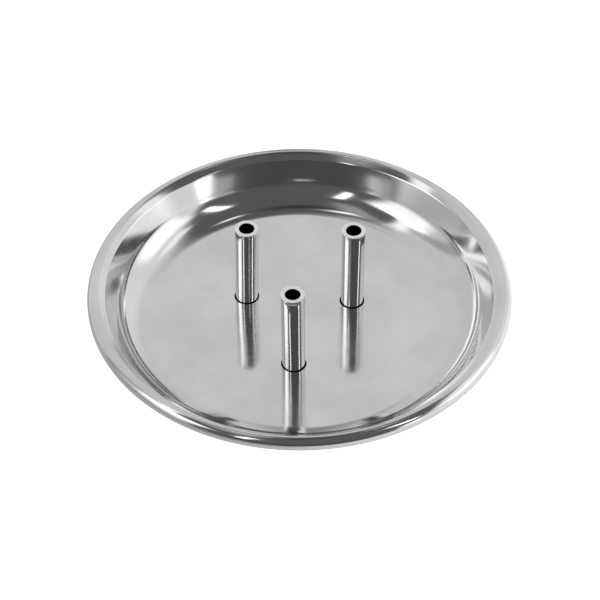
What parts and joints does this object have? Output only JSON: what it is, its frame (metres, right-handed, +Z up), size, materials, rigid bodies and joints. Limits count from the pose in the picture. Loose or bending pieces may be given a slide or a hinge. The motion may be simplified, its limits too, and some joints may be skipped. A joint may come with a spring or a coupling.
{
  "type": "round dish with upright tubes",
  "caption": "Round shallow polished steel dish with a flared wall and turned-down lip, lifting off over upright hollow tubes nutted to a footed base plate.",
  "frame": {"origin": "on the table under the middle of the dish, at the feet's undersides", "axes": "+Z up along the dish's axis of revolution, -Y towards the front, +X to the right seen from the front"},
  "size_m": [0.22, 0.22, 0.0689],
  "materials": {
    "dish_steel": "polished to a soft mirror, fine spinning marks",
    "post_steel": "polished tube with fine turning marks, ground top rings",
    "base_steel": "brushed",
    "fastener_steel": "plain machined",
    "silicone": "matt black",
    "rubber": "matt black"
  },
  "bodies": {
    "stand": {"base_plate": "base_steel", "post_front": "post_steel", "seat_ring_front": "silicone", "post_washer_front": "fastener_steel", "post_nut_front": "fastener_steel", "post_right": "post_steel", "seat_ring_right": "silicone", "post_washer_right": "fastener_steel", "post_nut_right": "fastener_steel", "post_left": "post_steel", "seat_ring_left": "silicone", "post_washer_left": "fastener_steel", "post_nut_left": "fastener_steel", "foot_right": "rubber", "foot_screw_right": "fastener_steel", "foot_back": "rubber", "foot_screw_back": "fastener_steel", "foot_left": "rubber", "foot_screw_left": "fastener_steel"},
    "tray": {"tray_pan": "dish_steel"}
  },
  "joints": [
    {"name": "tray_lift", "type": "slide", "parent": "stand", "child": "tray", "axis": [0, 0, 1], "range_m": [0, 0.06]}
  ]
}
